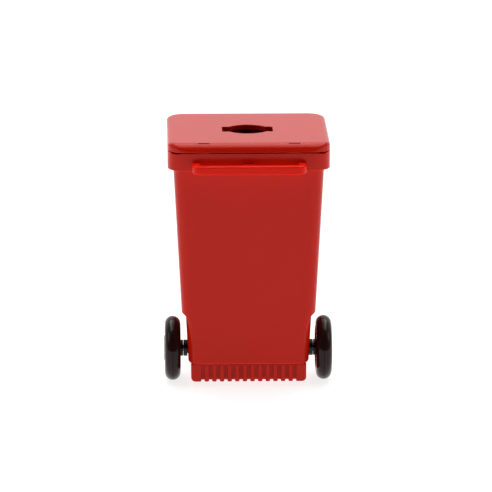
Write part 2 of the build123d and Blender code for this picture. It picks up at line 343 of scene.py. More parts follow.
class ShellMesh:
    """Rings of points bridged one after another into a closed mesh."""

    def __init__(self) -> None:
        """Starts an empty mesh."""
        self.bm = bmesh.new()

    def ring(self, points: Ring) -> list[bmesh.types.BMVert]:
        """Adds a ring's vertices, from millimetres."""
        return [self.bm.verts.new(Vector(point) * MM) for point in points]

    def bridge(self, first: list[bmesh.types.BMVert], second: list[bmesh.types.BMVert]) -> None:
        """Joins two rings of the same length with quads."""
        count = len(first)
        for index in range(count):
            after = (index + 1) % count
            self.bm.faces.new((first[index], first[after], second[after], second[index]))

    def loft(self, rings: Iterable[Ring], capped: bool = True, closed: bool = False) -> list:
        """Bridges rings in order.

        Args:
            rings: the rings, each with the same number of points.
            capped: whether the first and last ring are filled.
            closed: whether the last ring joins the first.

        Returns:
            The rings' vertices.
        """
        made = [self.ring(points) for points in rings]
        for first, second in zip(made, made[1:]):
            self.bridge(first, second)
        if closed:
            self.bridge(made[-1], made[0])
        elif capped:
            self.bm.faces.new(list(reversed(made[0])))
            self.bm.faces.new(made[-1])
        return made

    def revolve(self, profile: Sequence[Place], axis_y: float, axis_z: float, steps: int) -> None:
        """Turns a closed profile about a line along X.

        Args:
            profile: places along X with their distance from the line, all above zero.
            axis_y: where the line is.
            axis_z: its height.
            steps: how many parts a full turn has.
        """
        rings = []
        for index in range(steps):
            angle = math.tau * index / steps
            lean, rise = math.cos(angle), math.sin(angle)
            rings.append([(along, axis_y + out * lean, axis_z + out * rise) for along, out in profile])
        self.loft(rings, capped=False, closed=True)

    def piece(self, name: str, finish: Finish, sharp: float = 32.0) -> bpy.types.Object:
        """Turns the mesh into an object with smooth shading that breaks at sharp edges.

        Args:
            name: the object's name.
            finish: its finish.
            sharp: the angle past which an edge is sharp, in degrees.

        Returns:
            The object, in the scene.
        """
        bmesh.ops.remove_doubles(self.bm, verts=self.bm.verts, dist=MERGE)
        bmesh.ops.recalc_face_normals(self.bm, faces=self.bm.faces)
        for face in self.bm.faces:
            face.smooth = True
        limit = math.radians(sharp)
        for edge in self.bm.edges:
            if len(edge.link_faces) == 2 and edge.calc_face_angle(0.0) > limit:
                edge.smooth = False
        mesh = bpy.data.meshes.new(name)
        self.bm.to_mesh(mesh)
        self.bm.free()
        mesh.materials.append(finish.material())
        made = bpy.data.objects.new(name, mesh)
        bpy.context.scene.collection.objects.link(made)
        return made

    def seed(self, name: str) -> bpy.types.Mesh:
        """Turns the mesh into a datablock for a node recipe."""
        bmesh.ops.recalc_face_normals(self.bm, faces=self.bm.faces)
        mesh = bpy.data.meshes.new(name)
        self.bm.to_mesh(mesh)
        self.bm.free()
        return mesh


def arc(start: float, stop: float, steps: int) -> list[float]:
    """Angles in radians from start to stop degrees, both ends included."""
    return [math.radians(start + (stop - start) * index / steps) for index in range(steps + 1)]


def spread(start: float, stop: float, steps: int) -> list[float]:
    """Evenly spaced numbers, both ends included."""
    return [start + (stop - start) * index / steps for index in range(steps + 1)]


def round_corner(middle: Place, radius: float, first: float, steps: int) -> list[Place]:
    """A quarter turn of a corner, both ends included.

    Args:
        middle: the corner's centre.
        radius: its radius.
        first: the angle that it starts at, in degrees.
        steps: how many parts it has.

    Returns:
        Its points, anticlockwise.
    """
    turns = arc(first, first + 90.0, steps)
    return [(middle[0] + radius * math.cos(turn), middle[1] + radius * math.sin(turn)) for turn in turns]


def round_rectangle(low: Place, high: Place, corner: float, steps: int) -> list[Place]:
    """A rounded rectangle, anticlockwise from its lower right corner.

    Args:
        low: its lower left corner.
        high: its upper right corner.
        corner: the corners' radius.
        steps: how many parts a corner has.

    Returns:
        Its points.
    """
    left, right = low[0] + corner, high[0] - corner
    lower, upper = low[1] + corner, high[1] - corner
    corners = ((right, lower), (right, upper), (left, upper), (left, lower))
    points = []
    for index, middle in enumerate(corners):
        points += round_corner(middle, corner, 90.0 * (index - 1), steps)
    return points


def round_off(radius: float, turn: float) -> Place:
    """How far a quarter round stands off its two faces: radius times 1 - cos and 1 - sin."""
    return radius * (1 - math.cos(turn)), radius * (1 - math.sin(turn))


def weigh_normals(piece: bpy.types.Object) -> None:
    """Lets large flat faces keep their own normal beside small rounds."""
    modifier = piece.modifiers.new("Weighted normals", "WEIGHTED_NORMAL")
    modifier.keep_sharp = True
    modifier.weight = 80


# ---------------------------------------------------------------- geometry nodes


class NodeRecipe:
    """A Geometry Nodes tree with named inputs, whose result becomes a plain mesh."""

    def __init__(self, name: str, inputs: dict[str, float]) -> None:
        """Starts the tree.

        Args:
            name: the tree's name.
            inputs: its named sizes; whole numbers make whole-number sockets.
        """
        self.tree = bpy.data.node_groups.new(name, "GeometryNodeTree")
        self.values: dict[str, float] = inputs
        self.tree.interface.new_socket("Geometry", in_out="INPUT", socket_type="NodeSocketGeometry")
        self.tree.interface.new_socket("Geometry", in_out="OUTPUT", socket_type="NodeSocketGeometry")
        for key, value in inputs.items():
            kind = "NodeSocketInt" if isinstance(value, int) else "NodeSocketFloat"
            self.tree.interface.new_socket(key, in_out="INPUT", socket_type=kind)
        self.start = self.tree.nodes.new("NodeGroupInput")
        self.end = self.tree.nodes.new("NodeGroupOutput")

    def given(self, key: str) -> bpy.types.NodeSocket:
        """The tree's own input of that name."""
        return self.start.outputs[key]

    def add(self, kind: str, settings: dict[str, Any], values: dict[Any, Any]) -> bpy.types.NodeSocket:
        """Adds a node.

        Args:
            kind: the node's type.
            settings: its properties.
            values: its sockets' values or links, by name or number.

        Returns:
            The node's first output.
        """
        made = self.tree.nodes.new(kind)
        for key, value in settings.items():
            setattr(made, key, value)
        for key, value in values.items():
            if isinstance(value, bpy.types.NodeSocket):
                self.tree.links.new(value, made.inputs[key])
            else:
                made.inputs[key].default_value = value
        return made.outputs[0]

    def maths(self, operation: str, first: Any, second: Any) -> bpy.types.NodeSocket:
        """Adds a Math node."""
        return self.add("ShaderNodeMath", {"operation": operation}, {0: first, 1: second})

    def vector(self, x: Any = 0.0, y: Any = 0.0, z: Any = 0.0) -> bpy.types.NodeSocket:
        """Joins three numbers into a vector."""
        return self.add("ShaderNodeCombineXYZ", {}, {0: x, 1: y, 2: z})

    def repeat(self, points: bpy.types.NodeSocket, **values: Any) -> bpy.types.NodeSocket:
        """Sets the source on each of the points."""
        values = {"Points": points, "Instance": self.given("Geometry"), **values}
        return self.add("GeometryNodeInstanceOnPoints", {}, values)

    def make(
        self, name: str, result: bpy.types.NodeSocket, finish: Finish, source: Any = None
    ) -> bpy.types.Object:
        """Runs the tree and keeps its result as a plain mesh.

        Args:
            name: the new object's name.
            result: the geometry to keep.
            finish: the finish it is given.
            source: a mesh that goes into the tree, or none.

        Returns:
            The new object.
        """
        real = self.add("GeometryNodeRealizeInstances", {}, {0: result})
        dressed = self.add("GeometryNodeSetMaterial", {}, {"Geometry": real, "Material": finish.material()})
        self.tree.links.new(dressed, self.end.inputs[0])
        carrier = bpy.data.objects.new(name + "_carrier", source or bpy.data.meshes.new(name + "_seed"))
        bpy.context.scene.collection.objects.link(carrier)
        modifier = carrier.modifiers.new(self.tree.name, "NODES")
        modifier.node_group = self.tree
        for socket in self.tree.interface.items_tree:
            if socket.in_out == "INPUT" and socket.name in self.values:
                modifier[socket.identifier] = self.values[socket.name]
        graph = bpy.context.evaluated_depsgraph_get()
        mesh = bpy.data.meshes.new_from_object(carrier.evaluated_get(graph), depsgraph=graph)
        mesh.name = name
        bpy.data.objects.remove(carrier)
        made = bpy.data.objects.new(name, mesh)
        bpy.context.scene.collection.objects.link(made)
        return made


def shade_by_angle(piece: bpy.types.Object, sharp: float) -> None:
    """Smooth shading on a finished mesh, broken at edges past an angle in degrees."""
    bm = bmesh.new()
    bm.from_mesh(piece.data)
    bmesh.ops.remove_doubles(bm, verts=bm.verts, dist=MERGE)
    bmesh.ops.recalc_face_normals(bm, faces=bm.faces)
    for face in bm.faces:
        face.smooth = True
    for edge in bm.edges:
        edge.smooth = not (len(edge.link_faces) == 2 and edge.calc_face_angle(0.0) > math.radians(sharp))
    bm.to_mesh(piece.data)
    bm.free()


def place_piece(piece: bpy.types.Object, body: str, slot: str, *nodes: str) -> None:
    """Lets a finished piece ride on a body and stand for frame nodes.

    Args:
        piece: the piece.
        body: the body that it moves with.
        slot: the record's material slot; not used.
        nodes: the frame nodes that it stands for.
    """
    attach(piece, body)
    if nodes:
        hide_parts(*nodes)
    LOG.info("%s on %s: %d faces", piece.name, body, len(piece.data.polygons))


# ---------------------------------------------------------------- shared sizes


@dataclass(frozen=True)
class BinSizes:
    """Sizes and places that several sub-assemblies share, in millimetres."""

    middle_y: float
    lid_width: float
    lid_depth: float
    lid_foot: float
    lid_top: float
    near_y: float
    hinge_y: float
    hinge_z: float
    corner: float = 8.0
    collar_top_gap: float = 0.2
    collar_height: float = 8.1
    collar_step: float = 2.5
    collar_wall: float = 2.0
    lug_width: float = 5.0
    lug_place: float = 20.0

    @property
    def hinge_radius(self) -> float:
        """Radius of the lid's rounded near edge."""
        return self.hinge_z - self.lid_foot

    @property
    def collar_top(self) -> float:
        """Height of the collar's upper face."""
        return self.lid_foot - self.collar_top_gap

    @property
    def collar_foot(self) -> float:
        """Height of the collar's lower edge."""
        return self.collar_top - self.collar_height

    @classmethod
    def from_frame(cls) -> "BinSizes":
        """Reads the shared sizes off the frame's nodes."""
        lid_low, lid_high = node_box("lid")
        _, tub_high = node_box("tub")
        rod_low, rod_high = node_box("hinge_rod")
        hinge_z = (rod_low.z + rod_high.z) / 2
        return cls(
            middle_y=(lid_low.y + lid_high.y) / 2,
            lid_width=lid_high.x - lid_low.x,
            lid_depth=lid_high.y - lid_low.y,
            lid_foot=2 * hinge_z - tub_high.z,
            lid_top=lid_high.z,
            near_y=lid_low.y,
            hinge_y=(rod_low.y + rod_high.y) / 2,
            hinge_z=hinge_z,
        )


# ---------------------------------------------------------------- tub


@dataclass
class TubShell:
    """The tapered tub with its collar, narrower lower body, floor, post and hinge lugs."""

    sizes: BinSizes
    foot: float = 10.1
    foot_round: float = 1.3
    draft: float = 3.05
    top_corner: float = 6.7
    foot_corner: float = 4.6
    least_corner: float = 0.5
    least_bore: float = 0.9
    wall: float = 2.0
    core_step: float = 1.75
    core_corner: float = 6.0
    shoulder_top: float = 34.0
    shoulder_drop: float = 12.2
    shoulder_reach: float = 6.0
    panel_overlap: float = 0.7
    side_lead: float = 0.05
    side_run: float = 3.0
    shelf: float = 36.0
    shelf_soft: float = 0.6
    floor: float = 19.5
    floor_wall: float = 2.0
    floor_round: float = 1.5
    edge_round: float = 0.45
    crown: float = 0.25
    bore_chamfer: float = 0.2
    ledge_round: float = 0.5
    ledge_soft: float = 0.3
    swing_gap: float = 0.1
    lid_round: float = 4.6
    seam: float = 0.02
    post_radius: float = 5.0
    post_bore: float = 3.5
    post_height: float = 54.0
    post_foot_round: float = 1.2
    post_top_round: float = 1.0
    flat_steps: int = 6
    corner_steps: int = 12
    side_steps: int = 5
    shoulder_steps: int = 22

    def outer(self, height: float) -> Outline:
        """Half width, half depth and corner radius of the outside at a height."""
        top = self.sizes.collar_foot
        inset = (top - height) * math.tan(math.radians(self.draft))
        share = (top - height) / (top - self.foot)
        corner = self.top_corner + (self.foot_corner - self.top_corner) * share
        step = self.sizes.collar_step
        return self.sizes.lid_width / 2 - step - inset, self.sizes.lid_depth / 2 - step - inset, corner

    def shoulder(self, height: float) -> float:
        """How far from the middle the outside's skin reaches before it steps in, at a height."""
        half, _, corner = self.outer(self.foot)
        edge = half - corner + self.panel_overlap
        rise = (height - (self.shoulder_top - self.shoulder_drop)) / self.shoulder_drop
        rise = min(max(rise, 0.0), 1.0)
        return edge + self.shoulder_reach * (1.0 - math.sqrt(1.0 - rise * rise))

    def bend(self, flat: float, depth: float, corner: float, first: float, last: float) -> list[Place]:
        """A stretch of a rounded corner that follows a flat.

        Args:
            flat: where the flat ends.
            depth: the flat's depth.
            corner: the corner's radius.
            first: the angle turned at the start, in degrees.
            last: the angle turned at the end.

        Returns:
            Places across and their depth.
        """
        return [
            (flat + corner * math.sin(turn), depth + corner * (1 - math.cos(turn)))
            for turn in arc(first, last, self.corner_steps)
        ]

    def quarter(self, height: float, inset: float) -> list[Place]:
        """A quarter of the outside at a height, from the near face's middle to the side's middle.

        Args:
            height: the section's height.
            inset: how far in it stands, as at the rounded foot.

        Returns:
            Places across and their depth behind the near face.
        """
        half, deep, corner = self.outer(height)
        half, deep = half - inset, deep - inset
        corner = max(corner - inset, self.least_corner)
        flat = half - corner
        reach = self.shoulder(height) if height < self.shoulder_top else half + 1
        least_turn = 0.02
        turned = min(max((reach - flat) / corner, least_turn), 1.0)
        points = [(x, inset) for x in spread(0.0, flat, self.flat_steps)[:-1]]
        points += self.bend(flat, inset, corner, 0.0, math.degrees(math.asin(turned)))
        core_half, core_round = half - self.core_step, max(self.core_corner - inset, self.least_corner)
        if reach >= core_half:
            side = min(reach, half)
            start = inset + (core_round if reach < half else corner + self.side_lead)
            stop = inset + corner + self.side_lead + self.side_run
            points += [(side, depth) for depth in spread(start, stop, self.corner_steps)]
        else:
            side, core_flat = core_half, core_half - core_round
            turned = min(max((reach - core_flat) / core_round, 0.0), 1.0)
            points += self.bend(core_flat, inset, core_round, math.degrees(math.asin(turned)), 90.0)
        depths = spread(points[-1][1], deep + inset, self.side_steps)[1:]
        return points + [(side, depth) for depth in depths]

    def plain_quarter(self, half: float, deep: float, corner: float) -> list[Place]:
        """A quarter of a plain rounded rectangle, with as many points as a shouldered one.

        Args:
            half: half its width.
            deep: half its depth.
            corner: its corner radius.

        Returns:
            Places across and their depth.
        """
        flat, start = half - corner, corner + self.side_lead
        points = [(x, 0.0) for x in spread(0.0, flat, self.flat_steps)[:-1]]
        points += self.bend(flat, 0.0, corner, 0.0, 90.0)
        points += [(half, depth) for depth in spread(start, start + self.side_run, self.corner_steps)]
        return points + [(half, depth) for depth in spread(points[-1][1], deep, self.side_steps)[1:]]

    def full(self, quarter: list[Place], near: float, height: float) -> Ring:
        """Mirrors a quarter into a whole ring, anticlockwise from above.

        Args:
            quarter: the near right quarter.
            near: the near face's place along Y, from which the depths count.
            height: the ring's height.

        Returns:
            The ring.
        """
        middle = self.sizes.middle_y
        right = [(x, near + depth) for x, depth in quarter]
        half = right + [(x, 2 * middle - y) for x, y in reversed(right[:-1])]
        left = [(-x, y) for x, y in reversed(half[1:-1])]
        return [(x, y, height) for x, y in half + left]

    def outside(self, height: float, inset: float = 0.0) -> Ring:
        """The ring of the outside at a height."""
        near = self.sizes.middle_y - self.outer(height)[1]
        return self.full(self.quarter(height, inset), near, height)

    def plain(self, outline: Outline, pull: float, height: float) -> Ring:
        """A plain rounded rectangle's ring, pulled in all round.

        Args:
            outline: half its width, half its depth and its corner radius.
            pull: how much smaller each of them is.
            height: the ring's height.

        Returns:
            The ring.
        """
        half, deep, corner = (size - pull for size in outline)
        near = self.sizes.middle_y - deep
        return self.full(self.plain_quarter(half, deep, max(corner, self.least_bore)), near, height)

    def inside(self, height: float, extra: float = 0.0, core: bool = False) -> Ring:
        """The ring of the hollow at a height, in the wider upper body or the narrower lower one."""
        half, deep, corner = self.outer(height)
        if core:
            half, corner = half - self.core_step, self.core_corner + extra
        return self.plain((half, deep, corner), self.wall + extra, height)

    def heights(self) -> list[float]:
        """Heights of the outside's rings, closer together where the shoulder turns."""
        start = self.shoulder_top - self.shoulder_drop
        low = spread(self.foot + self.foot_round, start, 3)[1:-1]
        turns = arc(0.0, 90.0, self.shoulder_steps)
        turn = [start + self.shoulder_drop * math.sin(angle) for angle in turns]
        crisp = 0.001
        turn[-1] -= crisp
        edge = [self.shoulder_top + crisp, self.shoulder_top + 0.4]
        high = spread(self.shoulder_top + 2.0, self.sizes.collar_foot - self.edge_round, 9)
        return low + turn + edge + high

    def rings(self) -> list[Ring]:
        """All rings: the chamber under the floor, the outside, the collar and the hollow."""
        made = [self.inside(self.foot, core=True)]
        made.insert(0, [(x, y, self.floor - self.floor_wall) for x, y, _ in made[0]])
        for turn in arc(0.0, 90.0, 5):
            rise, inset = round_off(self.foot_round, turn)
            made.append(self.outside(self.foot + rise, inset))
        made += [self.outside(height) for height in self.heights()]
        return made + self.collar_rings() + self.hollow_rings()

    def collar_rings(self) -> list[Ring]:
        """Rings of the collar's underside, face and upper edge."""
        size = self.sizes
        collar = (size.lid_width / 2, size.lid_depth / 2, size.corner)
        foot, top = size.collar_foot, size.collar_top
        made = []
        for turn in arc(0.0, 90.0, 3)[1:]:
            push, drop = round_off(self.edge_round, turn)
            made.append(self.plain(self.outer(foot), -push, foot - drop))
        for turn in arc(0.0, 90.0, 4):
            rise, pull = round_off(self.edge_round, turn)
            made.append(self.plain(collar, pull, foot + rise))
        for turn in arc(0.0, 90.0, 4):
            pull, drop = round_off(self.crown, turn)
            made.append(self.plain(collar, pull, top - drop))
        for drop in (0.0, self.bore_chamfer):
            made.append(self.plain(collar, size.collar_wall - self.bore_chamfer + drop, top - drop))
        return [[(x, y, min(z, self.trough(y))) for x, y, z in ring] for ring in made]

    def hollow_rings(self) -> list[Ring]:
        """Rings of the inside, from the collar's ledge down to the floor."""
        size = self.sizes
        bore = (size.lid_width / 2, size.lid_depth / 2, size.corner)
        ledge = size.collar_foot + self.wall
        made = []
        for turn in arc(0.0, 90.0, 3):
            pull, rise = round_off(self.ledge_round, turn)
            made.append(self.plain(bore, size.collar_wall + pull, ledge + rise))
        made.append(self.inside(ledge, -self.ledge_soft))
        soft = self.shelf_soft
        made += [self.inside(height) for height in spread(ledge - 0.4, self.shelf + soft, 6)]
        made.append(self.inside(self.shelf, soft))
        made.append(self.inside(self.shelf, core=True))
        low = self.floor + self.floor_round
        made += [self.inside(height, core=True) for height in spread(self.shelf - soft, low, 3)]
        for turn in arc(0.0, 90.0, 4)[1:]:
            pull, rise = round_off(self.floor_round, turn)
            made.append(self.inside(self.floor + rise, pull, core=True))
        return made

    def trough(self, y: float) -> float:
        """Height of the trough, under the hinge line, that the lid's lower near edge swings through."""
        size = self.sizes
        reach = math.sqrt(2) * size.hinge_radius + self.swing_gap
        return size.hinge_z - math.sqrt(max(reach**2 - (y - size.hinge_y) ** 2, 0.0))

    def lug(self, shell: ShellMesh, centre: float) -> None:
        """One hinge lug, whose top carries the lid's rolled edge on and falls away behind the hinge line.

        Args:
            shell: the mesh that it joins.
            centre: its middle along X.
        """
        size = self.sizes
        near, far = size.hinge_y - size.hinge_radius, size.hinge_y + size.hinge_radius
        inner, foot = size.near_y + size.collar_wall, size.lid_foot
        groove, shallow = 0.25, 0.08
        profile = [(near, foot + groove), (near + shallow, foot + shallow), (near + groove, foot)]
        # the root, which runs down inside the collar's wall
        profile += [(near + 0.3, foot - 1.2), (near + 0.9, foot - 5.5)]
        profile += [(inner, foot - 6.2), (far, foot - 3.2)]
        for turn in arc(0.0, 172.5, 23):
            y = size.hinge_y + size.hinge_radius * math.cos(turn)
            soft = math.sqrt(1.0 - (1.0 - (y - near) / self.lid_round) ** 2)
            roll = foot + (size.lid_top - foot) * soft
            profile.append((y, min(size.hinge_z + size.hinge_radius * math.sin(turn), roll)))
        middle = Vector((size.hinge_y, size.hinge_z))
        rings = []
        for side, pull in ((-1, self.seam), (-1, 0.0), (1, 0.0), (1, self.seam)):
            along = centre + side * (size.lug_width / 2 + pull - self.seam)
            ring = []
            for point in profile:
                out = Vector(point) - middle
                kept = middle + out * (1 - pull / out.length)
                ring.append((along, kept.x, kept.y))
            rings.append(ring)
        shell.loft(rings)

    def post(self, shell: ShellMesh) -> None:
        """The hollow post that the roll turns on."""
        middle = self.sizes.middle_y
        top = self.floor + self.post_height
        buried = self.floor - 0.5
        profile = [(self.post_bore, buried), (self.post_radius + self.post_foot_round, buried)]
        for turn in arc(0.0, 90.0, 5):
            rise, out = round_off(self.post_foot_round, turn)
            profile.append((self.post_radius + out, self.floor + rise))
        for turn in arc(0.0, 90.0, 6):
            pull, drop = round_off(self.post_top_round, turn)
            profile.append((self.post_radius - pull, top - drop))
        profile.append((self.post_bore, top))
        turns = arc(0.0, 355.0, 71)
        shell.loft(
            [[(out * math.cos(t), middle + out * math.sin(t), height) for t in turns] for out, height in profile],
            capped=False,
            closed=True,
        )

    def build(self) -> None:
        """Makes the tub and lets it stand for its node."""
        shell = ShellMesh()
        shell.loft(self.rings())
        for side in (-1, 1):
            self.lug(shell, side * self.sizes.lug_place)
        self.post(shell)
        piece = shell.piece("tub_shell", Finish.BODY, 28.0)
        weigh_normals(piece)
        place_piece(piece, "bin", "body_plastic", "tub")


# ---------------------------------------------------------------- lid


@dataclass
class LidShell:
    """The lid: a plate with a rolled near edge, a locating lip and the bag outlet."""

    sizes: BinSizes
    foot_soft: float = 0.25
    edge_round: float = 1.8
    edge_reach: float = 2.6
    near_round: float = 4.6
    plate: float = 2.4
    rim_wall: float = 2.0
    lip_wall: float = 1.4
    lip_drop: float = 2.5
    lip_clearance: float = 0.5
    lip_soft: float = 0.3
    notch_gap: float = 0.03
    least_corner: float = 0.6
    hold_margin: float = 0.8
    hole_radius: float = 9.5
    slot_half: float = 11.3
    slot_wide: float = 5.1
    slot_round: float = 0.7
    outlet_offset: float = -1.5
    outlet_round: float = 0.35
    corner_steps: int = 12
    side_steps: int = 8
    edge_steps: int = 22

    def near_side(self, near: float, notched: bool) -> list[Place]:
        """The near side's points from left to right, which turn in round the lugs where they are wanted.

        Args:
            near: the near side's place along Y.
            notched: whether it turns in round the lugs.

        Returns:
            The points.
        """
        size = self.sizes
        flat = size.lid_width / 2 - size.corner
        reach = size.lug_width / 2 + self.notch_gap
        deep = size.hinge_y + size.hinge_radius + self.notch_gap if notched else near
        turn_in = 0.0 if notched else 1.0
        stops = [-flat]
        for centre in (-size.lug_place, size.lug_place):
            stops += [centre - reach, centre + reach]
        stops.append(flat)
        points = []
        for index, steps in ((0, 5), (2, 9), (4, 5)):
            points += [(x, near) for x in spread(stops[index], stops[index + 1], steps)]
            if index < 4:
                points += [(stops[index + 1] + turn_in, deep), (stops[index + 2] - turn_in, deep)]
        return points

    def outline(self, inset: float, near: float, notched: bool) -> list[Place]:
        """The lid's outline in plan, anticlockwise from the near left corner's end.

        Args:
            inset: how far in from the lid's edge.
            near: the near side's place along Y.
            notched: whether the near side turns in round the lugs.

        Returns:
            The points.
        """
        size = self.sizes
        far = size.middle_y + size.lid_depth / 2 - inset
        corner = max(size.corner - inset, self.least_corner)
        across = size.lid_width / 2 - inset - corner
        low, high = near + corner, far - corner
        points = self.near_side(near, notched)[:-1]
        middles = ((across, low), (across, high), (-across, high), (-across, low))
        for index, middle in enumerate(middles):
            turned = round_corner(middle, corner, 90.0 * (index - 1), self.corner_steps)
            if index:
                start, stop = Vector(points[-1]), Vector(turned[0])
                points += [tuple(start.lerp(stop, share)) for share in spread(0, 1, self.side_steps)[1:-1]]
            points += turned
        return points[:-1]

    def ring(self, inset: float, height: float, near: float | None = None) -> Ring:
        """A ring of the lid at a height; the near edge rolls over into the top."""
        size = self.sizes
        if near is not None:
            return [(x, y, height) for x, y in self.outline(inset, near, False)]
        share = (height - size.lid_foot) / (size.lid_top - size.lid_foot)
        roll = size.near_y + self.near_round * (1.0 - math.sqrt(max(1.0 - share * share, 0.0)))
        near = size.near_y + min(inset, self.foot_soft)
        return [(x, max(y, roll), height) for x, y in self.outline(inset, near, True)]

    def edge_rings(self) -> list[Ring]:
        """Rings of the lid's rim from its lower edge to its top."""
        size = self.sizes
        soft = self.foot_soft
        made = []
        for turn in arc(-90.0, 90.0, self.edge_steps):
            height = size.hinge_z + size.hinge_radius * math.sin(turn)
            low = max(soft - (height - size.lid_foot), 0.0)
            high = max(height - (size.lid_top - self.edge_round), 0.0) / self.edge_round
            inset = soft - math.sqrt(soft**2 - low * low)
            inset += self.edge_reach * (1.0 - math.sqrt(max(1.0 - high * high, 0.0)))
            made.append(self.ring(inset, height))
        return made

    def outlet(self) -> list[Place]:
        """The outlet's outline: a round hole crossed by a slot with small corners."""
        centre = self.sizes.middle_y + self.outlet_offset
        cross = math.degrees(math.asin(self.slot_wide / self.hole_radius))
        pull = self.slot_round
        half = []
        for end, first in ((-1, -90.0), (1, 0.0)):
            half += round_corner((self.slot_half - pull, end * (self.slot_wide - pull)), pull, first, 4)
        radius = self.hole_radius
        turns = arc(cross, 180.0 - cross, 28)
        half += [(radius * math.cos(turn), radius * math.sin(turn)) for turn in turns]
        return [(side * x, side * y + centre) for side in (1, -1) for x, y in half]

    def build(self) -> None:
        """Makes the lid and lets it stand for its node."""
        size = self.sizes
        under, lip_foot = size.lid_top - self.plate, size.lid_foot - self.lip_drop
        rim_near = size.hinge_y + 2 * size.hinge_radius
        lip_near = rim_near + self.lip_clearance
        lip_out = size.collar_wall + self.lip_clearance
        lip_in, lip_far = lip_out + self.lip_wall, lip_near + self.lip_wall
        soft = self.lip_soft
        rings = [
            self.ring(lip_in, under, lip_far),
            self.ring(lip_in, lip_foot + soft, lip_far),
            self.ring(lip_in - soft, lip_foot, lip_far - soft),
            self.ring(lip_out + soft, lip_foot, lip_near + soft),
            self.ring(lip_out, lip_foot + soft, lip_near),
            self.ring(lip_out, under, lip_near),
            self.ring(self.rim_wall, under, rim_near),
            self.ring(self.rim_wall, size.lid_foot, rim_near),
        ]
        rings += self.edge_rings()
        rings.append(self.hold_ring())
        shell = ShellMesh()
        made = shell.loft(rings, capped=False)
        self.fill_plate(shell, made[0], made[-1], under)
        piece = shell.piece("lid_shell", Finish.BODY, 30.0)
        weigh_normals(piece)
        place_piece(piece, "lid", "body_plastic", "lid")

    def hold_ring(self) -> Ring:
        """A ring on the flat top just inside the rounded edge, which keeps the plate's shading flat."""
        size = self.sizes
        near = size.near_y + self.near_round + self.hold_margin
        points = self.outline(self.edge_reach + self.hold_margin, near, False)
        return [(x, max(y, near), size.lid_top) for x, y in points]

    def fill_plate(self, shell: ShellMesh, lower: list, upper: list, under: float) -> None:
        """Fills the plate's two faces round the outlet and lines the outlet.

        Args:
            shell: the mesh.
            lower: the underside's outer ring.
            upper: the top's outer ring.
            under: the underside's height.
        """
        outline = self.outlet()
        rings = []
        for turn in arc(0.0, 90.0, 4):
            drop, push = round_off(self.outlet_round, turn)
            rings.append(self.pushed(outline, push, self.sizes.lid_top - drop))
        for turn in arc(0.0, 90.0, 3):
            push, rise = round_off(self.outlet_round, turn)
            rings.append(self.pushed(outline, push, under + rise))
        made = shell.loft(rings, capped=False)
        for pair in ((upper, made[0]), (lower, made[-1])):
            edges = []
            for ring in pair:
                edges += [shell.bm.edges.get(ends) for ends in zip(ring, ring[1:] + ring[:1])]
            bmesh.ops.triangle_fill(shell.bm, use_beauty=True, edges=edges)

    def pushed(self, outline: list[Place], push: float, height: float) -> Ring:
        """The outlet's outline moved outward by a distance."""
        ring = []
        for index, point in enumerate(outline):
            before, after = Vector(outline[index - 1]), Vector(outline[(index + 1) % len(outline)])
            along = (after - before).normalized()
            ring.append((point[0] + along.y * push, point[1] - along.x * push, height))
        return ring


# ---------------------------------------------------------------- handle


@dataclass
class HandleBar:
    """The bar handle: one rounded bar bent round two corners, with a middle stay."""

    sizes: BinSizes
    depth: float = 3.6
    corner: float = 4.5
    edge: float = 0.75
    root: float = 0.2
    stay_width: float = 5.0
    stay_height: float = 2.4
    stay_round: float = 0.35
    stay_root: float = 0.1

    def build(self) -> None:
        """Sweeps the bar along its path with Geometry Nodes and adds the stay."""
        low, high = node_box("handle")
        half, front = (high.x - low.x - self.depth) / 2, low.y + self.depth / 2
        back, level = self.sizes.near_y + self.root, (low.z + high.z) / 2
        path = bpy.data.curves.new("handle_path", "CURVE")
        path.dimensions = "3D"
        spline = path.splines.new("POLY")
        corners = ((-half, back), (-half, front), (half, front), (half, back))
        spline.points.add(len(corners) - 1)
        for point, (x, y) in zip(spline.points, corners):
            point.co = (x * MM, y * MM, level * MM, 1.0)
        recipe = NodeRecipe(
            "bent_bar",
            {
                "Corner radius": (self.corner - self.depth / 2) * MM,
                "Bar depth": self.depth * MM,
                "Bar height": (high.z - low.z) * MM,
                "Edge round": self.edge * MM,
                "Corner steps": 10,
                "Edge steps": 5,
            },
        )
        bent = recipe.add(
            "GeometryNodeFilletCurve",
            {"mode": "POLY"},
            {
                "Curve": recipe.given("Geometry"),
                "Radius": recipe.given("Corner radius"),
                "Count": recipe.given("Corner steps"),
            },
        )
        upright = recipe.add("GeometryNodeSetCurveNormal", {"mode": "Z_UP"}, {"Curve": bent})
        section = recipe.add(
            "GeometryNodeCurvePrimitiveQuadrilateral",
            {},
            {"Width": recipe.given("Bar depth"), "Height": recipe.given("Bar height")},
        )
        rounded = recipe.add(
            "GeometryNodeFilletCurve",
            {"mode": "POLY"},
            {
                "Curve": section,
                "Radius": recipe.given("Edge round"),
                "Count": recipe.given("Edge steps"),
                "Limit Radius": True,
            },
        )
        swept = recipe.add(
            "GeometryNodeCurveToMesh", {}, {"Curve": upright, "Profile Curve": rounded, "Fill Caps": True}
        )
        piece = recipe.make("handle_bar", swept, Finish.HANDLE, path)
        self.add_stay(piece, front, high.z - self.edge)
        shade_by_angle(piece, 35.0)
        weigh_normals(piece)
        place_piece(piece, "bin", "handle_plastic", "handle")

    def add_stay(self, piece: bpy.types.Object, front: float, top: float) -> None:
        """Adds the stay between the bar and the collar.

        Args:
            piece: the bar.
            front: the middle of the bar along Y.
            top: the stay's upper face.
        """
        half = self.stay_width / 2
        outline = round_rectangle((-half, top - self.stay_height), (half, top), self.stay_round, 3)
        back = self.sizes.near_y + self.stay_root
        shell = ShellMesh()
        shell.bm.from_mesh(piece.data)
        shell.loft([[(x, y, z) for x, z in outline] for y in (front, back)])
        shell.bm.to_mesh(piece.data)
        shell.bm.free()


